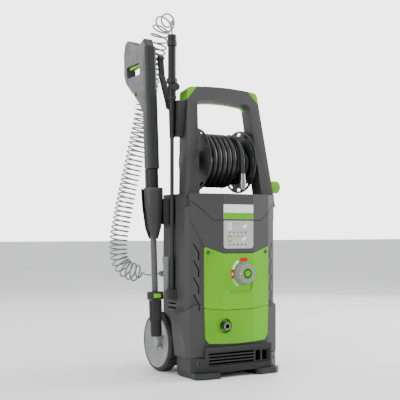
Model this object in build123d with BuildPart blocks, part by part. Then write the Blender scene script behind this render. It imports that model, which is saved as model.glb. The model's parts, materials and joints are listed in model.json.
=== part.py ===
from build123d import *
import os
from math import cos, radians, sin, tan

os.makedirs("parts", exist_ok=True)

# Upright electric pressure washer: millimetres, +Z up, front faces -Y, origin on the floor
# below the base's cross rib, in the machine's middle plane.

# ---------------------------------------------------------------- driving dimensions
WALL = 3.0                # moulded wall of every shell
SKIN = 3.0                # front covers stand this far proud of the casing
GAP = 1.6                 # seam between neighbouring covers
SHELL_GAP = 0.6           # seam between the casing shells and the base
FAR = 400.0               # cutting length that always clears the machine

CASING_HALF = 156.0       # half width of the casing
FRONT_Y = -157.0          # casing's front face
BACK_Y = 100.0            # casing's back face
SEAM_Y = -5.0             # plane where the front and rear shells meet
BASE_TOP = 60.0           # base tray's rim
CASING_TOP = 528.0        # top edge of the casing shells
RIM_TOP = 538.0           # rim of the reel well
WELL_FLOOR = 500.0        # underside of the reel well

LEAN = 8.75               # handle leans back, degrees
HANDLE_Y = -124.0         # handle's front face at HANDLE_Z
HANDLE_Z = 520.0
HANDLE_LENGTH = 349.0     # along the lean, from HANDLE_Z to the bar's top
HANDLE_DEPTH = 48.0

WHEEL_R = 90.0
WHEEL_WIDTH = 40.0
WHEEL_OUTER = 168.0       # outer face of each wheel
WHEEL_Y = 45.0
TYRE_THICKNESS = 12.0
AXLE_R = 6.0
RUNNING = 0.05            # radial clearance of a shaft in its hole

REEL_Y = -30.0
REEL_Z = 644.0
REEL_LEFT = -73.0         # inner faces of the flanges
REEL_RIGHT = 83.0
FLANGE_R = 97.0
FLANGE_THICKNESS = 4.0
DRUM_R = 45.0
HOSE_D = 14.0
LAYER_RISE = 12.6         # each layer of hose beds into the one below
OUTER_LAYER_END = 28.0    # the third layer covers the drum as far as this
CRANK_X = 166.0
CRANK_REACH = 75.0
KNOB_R = 20.0

DIAL_X = 21.0
DIAL_Z = 303.0
OUTLET_X = -46.0
OUTLET_Z = 151.0
OUTLET_R = 11.0           # M22 hose outlet
INLET_X = 60.0
INLET_Z = 140.0
INLET_R = 13.2            # three quarter inch garden hose inlet

LANCE_X = -210.0
LANCE_TILT = 3.7          # gun and lance lean back in the holster, degrees
LANCE_FOOT_Y = -46.0      # where the lance's axis meets the floor
LANCE_R = 9.0

WAND_X = -165.0
WAND_Y = -52.0

# ---------------------------------------------------------------- working planes
HANDLE = Plane(
    origin=(0, HANDLE_Y, HANDLE_Z),
    x_dir=(1, 0, 0),
    z_dir=(0, -cos(radians(LEAN)), sin(radians(LEAN))),
)
LANCE = Plane(
    origin=(LANCE_X, LANCE_FOOT_Y, 0),
    x_dir=(1, 0, 0),
    z_dir=(0, sin(radians(LANCE_TILT)), cos(radians(LANCE_TILT))),
)
GUN_SIDE = Plane(
    origin=(LANCE_X, LANCE_FOOT_Y, 0),
    x_dir=(0, cos(radians(LANCE_TILT)), -sin(radians(LANCE_TILT))),
    z_dir=(1, 0, 0),
)


# ---------------------------------------------------------------- shared outlines
def both_sides(points):
    """A closed outline from the points of its right half, given from one end to the other."""
    return points + [(-x, height) for x, height in reversed(points) if x != 0]


CASING_PLAN = both_sides([
    (52, FRONT_Y), (112, FRONT_Y + 8), (149, -127), (156, -112),
    (156, 20), (112, 90), (94, BACK_Y),
])


def plan(height, inset=0.0):
    """The casing's plan at a height, drawn in by an inset."""
    with BuildSketch(Plane.XY.offset(height)) as outline:
        Polygon(*CASING_PLAN, align=None)
        if inset:
            offset(amount=-inset, kind=Kind.INTERSECTION)
    return outline.sketch


def front_skin(points, corner=0.0, inner=0.0, outer=SKIN):
    """A plate on the casing's faceted front that fills an outline seen from the front."""
    with BuildPart() as skin:
        extrude(plan(0, -outer), amount=RIM_TOP)
        extrude(plan(0, -inner), amount=RIM_TOP, mode=Mode.SUBTRACT)
        with BuildSketch(Plane.XZ) as outline:
            Polygon(*points, align=None)
            if corner:
                fillet(outline.vertices(), corner)
        extrude(amount=FAR, mode=Mode.INTERSECT)
    return skin.part


def cylinder_x(radius, x_from, x_to, y, z):
    """A round bar along X."""
    with BuildPart() as bar:
        with BuildSketch(Plane.YZ.offset(x_from)):
            with Locations((y, z)):
                Circle(radius)
        extrude(amount=x_to - x_from)
    return bar.part


def lance_stage(radius, low, high, end_radius=None):
    """A round length of the lance between two distances along its axis."""
    with BuildPart() as stage:
        with BuildSketch(LANCE.offset(low)):
            Circle(radius)
        if end_radius is None:
            extrude(amount=high - low)
        else:
            with BuildSketch(LANCE.offset(high)):
                Circle(end_radius)
            loft()
    return stage.part


def upright_stage(x, y, radius, low, high, end_radius=None):
    """A round length that stands upright at a place in plan."""
    with BuildPart() as stage:
        with BuildSketch(Plane.XY.offset(low)):
            with Locations((x, y)):
                Circle(radius)
        if end_radius is None:
            extrude(amount=high - low)
        else:
            with BuildSketch(Plane.XY.offset(high)):
                with Locations((x, y)):
                    Circle(end_radius)
            loft()
    return stage.part


# ================================================================ base
BASE_HALF = 150.0
BASE_NARROW = 117.0       # half width beside the wheels
FOOT_TOP = 18.0
WHEEL_BAY_Y = -54.0       # front of the wheel bays
COVER_SCREW = (100, 366)  # beside and above the middle plane
BASE_SCREW = (133, 44)

with BuildPart() as base_frame:
    with BuildSketch(Plane.XY.offset(FOOT_TOP)):
        Polygon(
            *both_sides([
                (60, -168), (112, -164), (BASE_HALF, -136), (BASE_HALF, WHEEL_BAY_Y),
                (BASE_NARROW, WHEEL_BAY_Y), (BASE_NARROW, 84), (96, 96),
            ]),
            align=None,
        )
    extrude(amount=BASE_TOP - FOOT_TOP)
    offset(amount=-4, openings=base_frame.faces().sort_by(Axis.Z)[-1])
    # feet, rails and the cross rib share one flat underside
    with BuildSketch():
        Polygon(
            *both_sides([
                (0, -14), (62, -14), (62, -160), (70, -174), (128, -172), (146, -158),
                (146, WHEEL_BAY_Y), (112, WHEEL_BAY_Y), (112, 14), (0, 14),
            ]),
            align=None,
        )
    extrude(amount=FOOT_TOP + 1)
    # raised front wall that frames the air grille
    with BuildSketch(Plane.XZ.offset(-FRONT_Y)):
        with Locations((0, 56)):
            Rectangle(232, 70)
    extrude(amount=7)
    # axle brackets and pump pedestal
    for side in (-1, 1):
        with BuildSketch(Plane.YZ.offset(side * 108 - 5)):
            with Locations((WHEEL_Y, 62)):
                Rectangle(30, 84)
            with Locations((WHEEL_Y, 104)):
                Circle(15)
        extrude(amount=10)
    with BuildSketch(Plane.XY.offset(FOOT_TOP)):
        with Locations((0, -14)):
            Rectangle(70, 70)
    extrude(amount=88 - FOOT_TOP)
    # axle hole, grille window, duct behind it
    add(cylinder_x(AXLE_R, -FAR, FAR, WHEEL_Y, WHEEL_R), mode=Mode.SUBTRACT)
    with BuildSketch(Plane.XZ.offset(-FRONT_Y - 20)):
        with Locations((0, 57)):
            Rectangle(216, 38)
    extrude(amount=40, mode=Mode.SUBTRACT)
    with BuildSketch(Plane.XZ.offset(138)):
        for side in (-1, 1):
            with Locations((side * BASE_SCREW[0], BASE_SCREW[1])):
                Circle(5)
    extrude(amount=30, mode=Mode.SUBTRACT)
base_frame.part.label = "base_frame"
export_step(base_frame.part, "parts/base_frame.step")

with BuildPart() as base_grille:
    with BuildSketch(Plane.XZ.offset(-FRONT_Y - 2)):
        with Locations((0, 57)):
            Rectangle(215.2, 37.2)
        with Locations((-24, 57)):
            with GridLocations(0, 9.2, 1, 4):
                SlotOverall(158, 5.4, mode=Mode.SUBTRACT)
        with Locations((69, 57), (93, 57)):
            RectangleRounded(19, 30, 3, mode=Mode.SUBTRACT)
    extrude(amount=6)
base_grille.part.label = "base_grille"
export_step(base_grille.part, "parts/base_grille.step")

# ================================================================ casing
SKIRT_LOW = BASE_TOP + SHELL_GAP
SKIRT_OUTLINE = both_sides([(0, SKIRT_LOW), (158, SKIRT_LOW), (172, 187), (135, 215), (0, 215)])
SKIRT_PLAN = both_sides([(52, FRONT_Y), (112, -149), (152, -136), (172, -106), (172, WHEEL_BAY_Y)])
ARCH_R = 98.0
ARCH_INNER = 121.0


def arch_region(inset):
    """The wheel bay seen from the side: a round arch, open to the rear and below."""
    front = WHEEL_Y - ARCH_R - inset
    top = WHEEL_R + ARCH_R + inset
    with BuildSketch(Plane.YZ) as bay:
        with Locations((WHEEL_Y, WHEEL_R)):
            Circle(ARCH_R + inset)
        Polygon((front, -1), (front, WHEEL_R), (FAR, WHEEL_R), (FAR, -1), align=None)
        Polygon((WHEEL_Y, 0), (WHEEL_Y, top), (FAR, top), (FAR, 0), align=None)
    return bay.sketch


def casing_body(inset, low, high):
    """The casing as a solid block with its skirts and wheel bays, drawn in by an inset."""
    with BuildPart() as skirt:
        with BuildSketch(Plane.XY):
            Polygon(*SKIRT_PLAN, align=None)
            if inset:
                offset(amount=-inset, kind=Kind.INTERSECTION)
        extrude(amount=FAR)
        with BuildSketch(Plane.XZ):
            Polygon(*SKIRT_OUTLINE, align=None)
            if inset:
                offset(amount=-inset, kind=Kind.INTERSECTION)
        extrude(amount=FAR, mode=Mode.INTERSECT)
    with BuildPart() as bays:
        extrude(arch_region(inset), amount=FAR, both=True)
        Box(2 * (ARCH_INNER - inset), 3 * FAR, 3 * FAR, mode=Mode.SUBTRACT)
    with BuildPart() as body:
        extrude(plan(low, inset), amount=high - low)
        add(skirt.part)
        add(bays.part, mode=Mode.SUBTRACT)
    return body.part


# outlines of the front covers, seen from the front
SPLIT_Z = 198.0           # seam between the two green covers
APRON = both_sides([(0, 461), (85, 461), (150, 520), (150, RIM_TOP), (0, RIM_TOP)])
FRONT_PANEL = both_sides([
    (0, 461 - GAP), (85, 461 - GAP), (148, 516), (147, 462), (112, 384), (52, 364), (0, 364),
])
UPPER_TOP = 364 - GAP
UPPER_COVER = both_sides([(0, UPPER_TOP), (52, UPPER_TOP), (112, 383), (112, 205), (52, SPLIT_Z), (0, SPLIT_Z)])
LOWER_COVER = both_sides([
    (0, SPLIT_Z - GAP), (52, SPLIT_Z - GAP), (112, 204), (109, 116), (98, 101), (0, 97),
])
SLOT_PITCH = 49.0         # between the slanted air slots
SERVICE_WINDOW = both_sides([(0, 440), (92, 440), (88, 122), (0, 122)])

with BuildPart() as casing_shell:
    add(casing_body(0, BASE_TOP + SHELL_GAP, CASING_TOP))
    add(casing_body(WALL, BASE_TOP, CASING_TOP + 1), mode=Mode.SUBTRACT)
    add(cylinder_x(AXLE_R + 2, -FAR, FAR, WHEEL_Y, WHEEL_R), mode=Mode.SUBTRACT)

with BuildPart() as main_casing:
    add(casing_shell.part)
    with Locations((0, SEAM_Y - FAR / 2, FAR / 2)):
        Box(2 * FAR, FAR, 4 * FAR, mode=Mode.INTERSECT)
    # window behind the removable covers
    with BuildSketch(Plane.XZ.offset(-FRONT_Y - 25)):
        Polygon(*SERVICE_WINDOW, align=None)
        with Locations((0, 57)):
            Rectangle(218, 40)
    extrude(amount=40, mode=Mode.SUBTRACT)
    # screw holes
    with BuildSketch(Plane.XZ.offset(140)):
        for side in (-1, 1):
            with Locations((side * COVER_SCREW[0], COVER_SCREW[1])):
                Circle(2.9)
    extrude(amount=20, mode=Mode.SUBTRACT)
    # slanted air slots in both front corners
    with BuildSketch(Plane.XZ.offset(115)):
        for side in (-1, 1):
            for step in range(4):
                slot_z = 366 - SLOT_PITCH * step
                with Locations((side * 132, slot_z + 13)):
                    SlotOverall(30, 3.2, rotation=90 - side * 25)
                with Locations((side * 125.5, slot_z - 10)):
                    SlotOverall(24, 3.2, rotation=90)
    extrude(amount=40, mode=Mode.SUBTRACT)
    # three cooling vents in each side wall, each longer than the one above
    with BuildSketch(Plane.YZ):
        for length, vent_z in ((30, 226), (42, 213), (52, 200)):
            with Locations((-38, vent_z)):
                SlotOverall(length, 4.5)
    extrude(amount=FAR, both=True, mode=Mode.SUBTRACT)
main_casing.part.label = "main_casing"
export_step(main_casing.part, "parts/main_casing.step")

with BuildPart() as rear_casing:
    add(casing_shell.part)
    with Locations((0, SEAM_Y + SHELL_GAP + FAR / 2, FAR / 2)):
        Box(2 * FAR, FAR, 4 * FAR, mode=Mode.INTERSECT)
    # motor cooling slots in the back wall
    with BuildSketch(Plane.XZ.offset(-BACK_Y - 10)):
        with Locations((0, 340)):
            with GridLocations(0, 12, 1, 8):
                SlotOverall(120, 5)
        with Locations((INLET_X, INLET_Z)):
            Circle(INLET_R + 0.3)
        with Locations((-INLET_X, INLET_Z)):
            Circle(9)
        with Locations((0, 452)):
            Circle(8 + RUNNING)
    extrude(amount=20, mode=Mode.SUBTRACT)
    # fixed lower cord hook, moulded on
    with BuildSketch(Plane.XZ.offset(-BACK_Y + 1)):
        with Locations((0, 250)):
            RectangleRounded(34, 16, 7)
    extrude(amount=-34)
    with BuildSketch(Plane.XZ.offset(-BACK_Y - 26)):
        with Locations((0, 238)):
            RectangleRounded(62, 40, 12)
    extrude(amount=-7)
rear_casing.part.label = "rear_casing"
export_step(rear_casing.part, "parts/rear_casing.step")

# ================================================================ handle with the reel well
BRACKET_X = 96.0          # inner face of the plates that carry the reel
BRACKET_THICKNESS = 12.0
POST_FOOT = 18.0          # posts reach this far below HANDLE_Z
WELL_CORNER = (105.5, -145.3)   # the pan's front corners are thinned to be square inside
GRIP_SPLIT = 35.0         # depth of the dark front shell of the bar
BAR_ARCH = 8.0            # the bar rises this much in its middle
BAR_UNDER = 300.0         # underside of the bar at its ends

with BuildPart() as handle_outline:
    with BuildSketch(HANDLE) as outer:
        with BuildLine():
            bar_end = HANDLE_LENGTH - BAR_ARCH
            Polyline((-124, bar_end), (-157, -POST_FOOT), (157, -POST_FOOT), (124, bar_end))
            ThreePointArc((124, bar_end), (0, HANDLE_LENGTH), (-124, bar_end))
        make_face()
        fillet(outer.vertices().group_by(Axis.Y)[-1], 13)
    extrude(amount=-HANDLE_DEPTH)
    with BuildSketch(HANDLE) as opening:
        with BuildLine():
            Polyline((-93, BAR_UNDER), (-114, -60), (114, -60), (93, BAR_UNDER))
            ThreePointArc((93, BAR_UNDER), (0, BAR_UNDER + BAR_ARCH), (-93, BAR_UNDER))
        make_face()
        fillet(opening.vertices().group_by(Axis.Y)[-1], 9)
    extrude(amount=-HANDLE_DEPTH, mode=Mode.SUBTRACT)

with BuildPart() as corner_zone:
    # green part: rear half of the bar and both outer corners
    with BuildSketch(HANDLE.offset(-GRIP_SPLIT)):
        Polygon((-160, 290), (160, 290), (160, 380), (-160, 380), align=None)
    extrude(amount=-HANDLE_DEPTH)
    with BuildSketch(HANDLE.offset(5)):
        for side in (-1, 1):
            Polygon((side * 84, 352), (side * 133, 298), (side * 160, 298), (side * 160, 380),
                    (side * 84, 380), align=None)
    extrude(amount=-HANDLE_DEPTH)

with BuildPart() as handle_grip:
    add(handle_outline.part)
    add(corner_zone.part, mode=Mode.INTERSECT)
handle_grip.part.label = "handle_grip"
export_step(handle_grip.part, "parts/handle_grip.step")

with BuildPart() as handle_frame:
    add(handle_outline.part)
    add(corner_zone.part, mode=Mode.SUBTRACT)
    # reel well: a pan that sits inside the casing's top edge
    extrude(plan(WELL_FLOOR, WALL + 0.4), amount=RIM_TOP - WELL_FLOOR)
    extrude(plan(CASING_TOP + 0.4), amount=RIM_TOP - CASING_TOP - 0.4)
    extrude(plan(WELL_FLOOR + 5, WALL + 3.4), amount=FAR, mode=Mode.SUBTRACT)
    with BuildSketch(Plane.XY.offset(WELL_FLOOR + 5)):
        with Locations((0, WELL_CORNER[1])):
            Rectangle(2 * WELL_CORNER[0], 20, align=(Align.CENTER, Align.MIN))
    extrude(amount=FAR, mode=Mode.SUBTRACT)
    add(handle_outline.part)
    add(corner_zone.part, mode=Mode.SUBTRACT)
    add(front_skin(APRON))
    # plates behind the posts that carry the reel's bearings
    for plate_x in (BRACKET_X, -BRACKET_X - BRACKET_THICKNESS):
        with BuildSketch(Plane.YZ.offset(plate_x)):
            with Locations((REEL_Y, REEL_Z)):
                Circle(26)
            Polygon((-84, 600), (-74, 690), (REEL_Y, REEL_Z + 26), (REEL_Y, REEL_Z - 26), align=None)
        extrude(amount=BRACKET_THICKNESS)
    add(cylinder_x(14, -FAR, FAR, REEL_Y, REEL_Z), mode=Mode.SUBTRACT)
    add(casing_shell.part, mode=Mode.SUBTRACT)
handle_frame.part.label = "handle_frame"
export_step(handle_frame.part, "parts/handle_frame.step")

# ================================================================ front covers
with BuildPart() as front_panel:
    add(front_skin(FRONT_PANEL))
front_panel.part.label = "front_panel"
export_step(front_panel.part, "parts/front_panel.step")

with BuildPart() as front_labels:
    # upper band on the apron, instruction plate below it, printed scale round the dial
    with BuildSketch(Plane.XZ.offset(-FRONT_Y + SKIN)):
        with Locations((0, 485)):
            Rectangle(104, 43)
    extrude(amount=0.6)
    with BuildSketch(Plane.XZ.offset(-FRONT_Y + SKIN)):
        with Locations((0, 418)):
            RectangleRounded(104, 82, 9)
    extrude(amount=0.6)
    with BuildSketch(Plane.XZ.offset(-FRONT_Y + SKIN)):
        with Locations((DIAL_X, DIAL_Z)):
            Circle(47)
            Circle(37, mode=Mode.SUBTRACT)
        Polygon((DIAL_X, DIAL_Z), (DIAL_X + 60, DIAL_Z + 60), (DIAL_X + 60, DIAL_Z - 60),
                (DIAL_X - 20, DIAL_Z - 60), align=None, mode=Mode.SUBTRACT)
    extrude(amount=0.6)
front_labels.part.label = "front_labels"
export_step(front_labels.part, "parts/front_labels.step")

with BuildPart() as upper_cover:
    add(front_skin(UPPER_COVER, corner=4))
    with BuildSketch(Plane.XZ.offset(-FRONT_Y - 5)):
        with Locations((DIAL_X, DIAL_Z)):
            Circle(11)
    extrude(amount=20, mode=Mode.SUBTRACT)
    with BuildSketch(Plane.XZ.offset(140)):
        for side in (-1, 1):
            with Locations((side * COVER_SCREW[0], COVER_SCREW[1])):
                Circle(2.9)
    extrude(amount=20, mode=Mode.SUBTRACT)
    with BuildSketch(Plane.XZ.offset(152.4)):
        for side in (-1, 1):
            with Locations((side * COVER_SCREW[0], COVER_SCREW[1])):
                Circle(5.2)
    extrude(amount=10, mode=Mode.SUBTRACT)
upper_cover.part.label = "upper_cover"
export_step(upper_cover.part, "parts/upper_cover.step")

RECESS_R = 22.0
with BuildPart() as lower_cover:
    add(front_skin(LOWER_COVER, corner=4))
    # cup-shaped recess round the outlet
    with BuildSketch(Plane.XZ.offset(-FRONT_Y - 9)):
        with Locations((OUTLET_X, OUTLET_Z)):
            Circle(RECESS_R + 3)
    extrude(amount=9 + SKIN + 1)
    with BuildSketch(Plane.XZ.offset(-FRONT_Y - 6)):
        with Locations((OUTLET_X, OUTLET_Z)):
            Circle(RECESS_R)
    extrude(amount=20, mode=Mode.SUBTRACT)
    with BuildSketch(Plane.XZ.offset(-FRONT_Y - 12)):
        with Locations((OUTLET_X, OUTLET_Z)):
            Circle(OUTLET_R + 1.5)
    extrude(amount=20, mode=Mode.SUBTRACT)
lower_cover.part.label = "lower_cover"
export_step(lower_cover.part, "parts/lower_cover.step")

with BuildPart() as screws:
    for side in (-1, 1):
        with BuildSketch(Plane.XZ.offset(142)):
            with Locations((side * COVER_SCREW[0], COVER_SCREW[1])):
                Circle(2.9)
        extrude(amount=12)
        with BuildSketch(Plane.XZ.offset(152.4)):
            with Locations((side * COVER_SCREW[0], COVER_SCREW[1])):
                Circle(5)
                RegularPolygon(2.2, 6, mode=Mode.SUBTRACT)
        extrude(amount=2.6)
        with BuildSketch(Plane.XZ.offset(138)):
            with Locations((side * BASE_SCREW[0], BASE_SCREW[1])):
                Circle(5)
        extrude(amount=11)
screws.part.label = "screws"
export_step(screws.part, "parts/screws.step")

# ================================================================ controls and fittings
with BuildPart() as dial:
    with BuildSketch(Plane.XZ.offset(-FRONT_Y + SKIN + 1)):
        with Locations((DIAL_X, DIAL_Z)):
            Circle(34)
    with BuildSketch(Plane.XZ.offset(-FRONT_Y + SKIN + 17)):
        with Locations((DIAL_X, DIAL_Z)):
            Circle(28)
    loft()
    with BuildSketch(Plane.XZ.offset(-FRONT_Y - 20)):
        with Locations((DIAL_X, DIAL_Z)):
            Circle(8)
    extrude(amount=20 + SKIN + 2)
    # finger flutes round the rim
    with BuildSketch(Plane.XZ.offset(-FRONT_Y)):
        with Locations((DIAL_X, DIAL_Z)):
            with PolarLocations(35.5, 24):
                Circle(2.6)
    extrude(amount=40, mode=Mode.SUBTRACT)
dial.part.label = "dial"
export_step(dial.part, "parts/dial.step")

with BuildPart() as switch_box:
    with BuildSketch(Plane.XZ.offset(-FRONT_Y - 72)):
        with Locations((DIAL_X, DIAL_Z)):
            RectangleRounded(70, 90, 5)
    extrude(amount=71.2)
    with BuildSketch(Plane.XZ.offset(-FRONT_Y - 27)):
        with Locations((DIAL_X, DIAL_Z)):
            Circle(8.5)
    extrude(amount=30, mode=Mode.SUBTRACT)
switch_box.part.label = "switch_box"
export_step(switch_box.part, "parts/switch_box.step")

with BuildPart() as outlet_fitting:
    with BuildSketch(Plane.XZ.offset(-FRONT_Y - 40)):
        with Locations((OUTLET_X, OUTLET_Z)):
            Circle(OUTLET_R)
    extrude(amount=40 + 15)
    with BuildSketch(Plane.XZ.offset(-FRONT_Y - 40)):
        with Locations((OUTLET_X, OUTLET_Z)):
            Circle(OUTLET_R + 1)
    extrude(amount=35)
    with BuildSketch(Plane.XZ.offset(-FRONT_Y - 40)):
        with Locations((OUTLET_X, OUTLET_Z)):
            RegularPolygon(16, 6)
    extrude(amount=14)
    with BuildSketch(Plane.XZ.offset(-FRONT_Y - 40)):
        with Locations((OUTLET_X, OUTLET_Z)):
            Circle(7)
    extrude(amount=80, mode=Mode.SUBTRACT)
outlet_fitting.part.label = "outlet_fitting"
export_step(outlet_fitting.part, "parts/outlet_fitting.step")

with BuildPart() as inlet_fitting:
    with BuildSketch(Plane.XZ.offset(-BACK_Y - 24)):
        with Locations((INLET_X, INLET_Z)):
            Circle(INLET_R)
    extrude(amount=54)
    with BuildSketch(Plane.XZ.offset(-BACK_Y - 3)):
        with Locations((INLET_X, INLET_Z)):
            RegularPolygon(19, 6)
    extrude(amount=3)
    with BuildSketch(Plane.XZ.offset(-BACK_Y - 30)):
        with Locations((INLET_X, INLET_Z)):
            Circle(9)
    extrude(amount=80, mode=Mode.SUBTRACT)
inlet_fitting.part.label = "inlet_fitting"
export_step(inlet_fitting.part, "parts/inlet_fitting.step")

with BuildPart() as cable_gland:
    with BuildSketch(Plane.XZ.offset(-BACK_Y - 22)):
        with Locations((-INLET_X, INLET_Z)):
            Circle(6.5)
    with BuildSketch(Plane.XZ.offset(-BACK_Y)):
        with Locations((-INLET_X, INLET_Z)):
            Circle(12)
    loft()
    with BuildSketch(Plane.XZ.offset(-BACK_Y)):
        with Locations((-INLET_X, INLET_Z)):
            Circle(8.8)
    extrude(amount=12)
    with BuildSketch(Plane.XZ.offset(-BACK_Y - 30)):
        with Locations((-INLET_X, INLET_Z)):
            Circle(4.2)
    extrude(amount=60, mode=Mode.SUBTRACT)
cable_gland.part.label = "cable_gland"
export_step(cable_gland.part, "parts/cable_gland.step")

with BuildPart() as cord_hook:
    # upper cord hook: turned down, it lets the wound cord slip off
    with BuildSketch(Plane.XZ.offset(-BACK_Y + 8)):
        with Locations((0, 452)):
            Circle(8)
    extrude(amount=-(8 + 34))
    with BuildSketch(Plane.XZ.offset(-BACK_Y - 0.4)):
        with Locations((0, 452)):
            Circle(13)
    extrude(amount=-28)
    with BuildSketch(Plane.XZ.offset(-BACK_Y - 27)):
        with Locations((0, 466)):
            RectangleRounded(62, 42, 12)
    extrude(amount=-7)
cord_hook.part.label = "cord_hook"
export_step(cord_hook.part, "parts/cord_hook.step")

# ================================================================ wheels
with BuildPart() as axle:
    add(cylinder_x(AXLE_R, -WHEEL_OUTER + 4, WHEEL_OUTER - 4, WHEEL_Y, WHEEL_R))
axle.part.label = "axle"
export_step(axle.part, "parts/axle.step")

HUB_R = WHEEL_R - TYRE_THICKNESS
TYRE_INNER = WHEEL_OUTER - WHEEL_WIDTH

for side_name, side in (("left", -1), ("right", 1)):
    wheel_plane = Plane(origin=(0, WHEEL_Y, WHEEL_R), x_dir=(side, 0, 0), z_dir=(0, -side, 0))
    with BuildPart() as tyre:
        with BuildSketch(wheel_plane):
            with BuildLine():
                Polyline((TYRE_INNER, HUB_R), (TYRE_INNER, WHEEL_R - 5), (TYRE_INNER + 7, WHEEL_R),
                         (WHEEL_OUTER - 7, WHEEL_R), (WHEEL_OUTER, WHEEL_R - 5),
                         (WHEEL_OUTER, HUB_R), (TYRE_INNER, HUB_R))
            make_face()
        revolve(axis=Axis((0, WHEEL_Y, WHEEL_R), (1, 0, 0)))
        # tread blocks
        with BuildSketch(Plane.YZ.offset(side * (TYRE_INNER - 1))):
            with Locations((WHEEL_Y, WHEEL_R)):
                with PolarLocations(WHEEL_R + 0.6, 36):
                    Rectangle(5, 3)
        extrude(amount=side * (WHEEL_WIDTH + 2), mode=Mode.SUBTRACT)
    tyre.part.label = f"tyre_{side_name}"
    export_step(tyre.part, f"parts/tyre_{side_name}.step")

    with BuildPart() as hub:
        with BuildSketch(wheel_plane):
            with BuildLine():
                Polyline(
                    (TYRE_INNER, HUB_R), (WHEEL_OUTER, HUB_R), (WHEEL_OUTER + 1, HUB_R - 3),
                    (WHEEL_OUTER - 3, HUB_R - 8), (WHEEL_OUTER - 13, 30), (WHEEL_OUTER - 12, 17),
                    (WHEEL_OUTER + 2, 15), (WHEEL_OUTER + 3, 0), (WHEEL_OUTER - 3, 0),
                    (WHEEL_OUTER - 3, AXLE_R + RUNNING), (TYRE_INNER - 4, AXLE_R + RUNNING),
                    (TYRE_INNER - 4, 15), (WHEEL_OUTER - 18, 17), (WHEEL_OUTER - 18, 32),
                    (WHEEL_OUTER - 8, HUB_R - 9), (TYRE_INNER, HUB_R - 5), (TYRE_INNER, HUB_R),
                )
            make_face()
        revolve(axis=Axis((0, WHEEL_Y, WHEEL_R), (1, 0, 0)))
        # small windows round the boss
        with BuildSketch(Plane.YZ.offset(side * (WHEEL_OUTER - 30))):
            with Locations((WHEEL_Y, WHEEL_R)):
                with PolarLocations(25, 5):
                    RectangleRounded(9, 13, 2)
        extrude(amount=side * 24, mode=Mode.SUBTRACT)
    hub.part.label = f"hub_{side_name}"
    export_step(hub.part, f"parts/hub_{side_name}.step")

# ================================================================ hose reel
SHAFT_R = 10.0

with BuildPart() as reel_bushes:
    for side in (-1, 1):
        near = side * (BRACKET_X + BRACKET_THICKNESS / 2) - BRACKET_THICKNESS / 2
        add(cylinder_x(14, near, near + BRACKET_THICKNESS, REEL_Y, REEL_Z))
    add(cylinder_x(SHAFT_R + RUNNING, -FAR, FAR, REEL_Y, REEL_Z), mode=Mode.SUBTRACT)
reel_bushes.part.label = "reel_bushes"
export_step(reel_bushes.part, "parts/reel_bushes.step")

with BuildPart() as reel_shaft:
    add(cylinder_x(SHAFT_R, -BRACKET_X - 16, CRANK_X + 8, REEL_Y, REEL_Z))
reel_shaft.part.label = "reel_shaft"
export_step(reel_shaft.part, "parts/reel_shaft.step")


def flange_windows():
    """Rounded windows between the drum and the rim, with a small hole between each pair."""
    with BuildSketch(Plane.YZ) as windows:
        with Locations((REEL_Y, REEL_Z)):
            with PolarLocations(86.5, 12):
                RectangleRounded(9, 22, 3)
            with PolarLocations(23, 6):
                Circle(6)
    return windows.sketch


with BuildPart() as reel_spool:
    # drum with its left flange, moulded in one
    add(cylinder_x(DRUM_R, REEL_LEFT, REEL_RIGHT, REEL_Y, REEL_Z))
    add(cylinder_x(FLANGE_R, REEL_LEFT - FLANGE_THICKNESS, REEL_LEFT, REEL_Y, REEL_Z))
    add(cylinder_x(DRUM_R - 4, REEL_LEFT + 6, REEL_RIGHT + 1, REEL_Y, REEL_Z), mode=Mode.SUBTRACT)
    extrude(flange_windows(), amount=-FAR, mode=Mode.SUBTRACT)
    add(cylinder_x(18, REEL_LEFT, REEL_RIGHT, REEL_Y, REEL_Z))
    add(cylinder_x(SHAFT_R, -FAR, FAR, REEL_Y, REEL_Z), mode=Mode.SUBTRACT)
reel_spool.part.label = "reel_spool"
export_step(reel_spool.part, "parts/reel_spool.step")

with BuildPart() as reel_flange:
    add(cylinder_x(FLANGE_R, REEL_RIGHT, REEL_RIGHT + FLANGE_THICKNESS, REEL_Y, REEL_Z))
    extrude(flange_windows(), amount=FAR, mode=Mode.SUBTRACT)
    add(cylinder_x(SHAFT_R, -FAR, FAR, REEL_Y, REEL_Z), mode=Mode.SUBTRACT)
reel_flange.part.label = "reel_flange"
export_step(reel_flange.part, "parts/reel_flange.step")

OUTER_LAYER_R = DRUM_R + HOSE_D + 2 * LAYER_RISE
INNER_LAYER_R = DRUM_R + HOSE_D + LAYER_RISE
with BuildPart() as reel_hose:
    # outer shape of the wound hose: three layers on the left, two on the right
    add(cylinder_x(OUTER_LAYER_R, REEL_LEFT, OUTER_LAYER_END, REEL_Y, REEL_Z))
    add(cylinder_x(INNER_LAYER_R, OUTER_LAYER_END, REEL_RIGHT, REEL_Y, REEL_Z))
    add(cylinder_x(DRUM_R, -FAR, FAR, REEL_Y, REEL_Z), mode=Mode.SUBTRACT)
reel_hose.part.label = "reel_hose"
export_step(reel_hose.part, "parts/reel_hose.step")

TAIL_X = 48.0
TAIL_Y = REEL_Y - INNER_LAYER_R - HOSE_D / 2 - 0.2
TAIL_END = 602.0
with BuildPart() as reel_hose_tail:
    add(upright_stage(TAIL_X, TAIL_Y, HOSE_D / 2, TAIL_END, REEL_Z))
reel_hose_tail.part.label = "reel_hose_tail"
export_step(reel_hose_tail.part, "parts/reel_hose_tail.step")

with BuildPart() as hose_connector:
    add(upright_stage(TAIL_X, TAIL_Y, 8.5, 582, TAIL_END))
    add(upright_stage(TAIL_X, TAIL_Y, 10.5, 560, 582))
    with BuildSketch(Plane.XY.offset(554)):
        with Locations((TAIL_X, TAIL_Y)):
            Circle(6.5)
    extrude(amount=8)
hose_connector.part.label = "hose_connector"
export_step(hose_connector.part, "parts/hose_connector.step")

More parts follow.
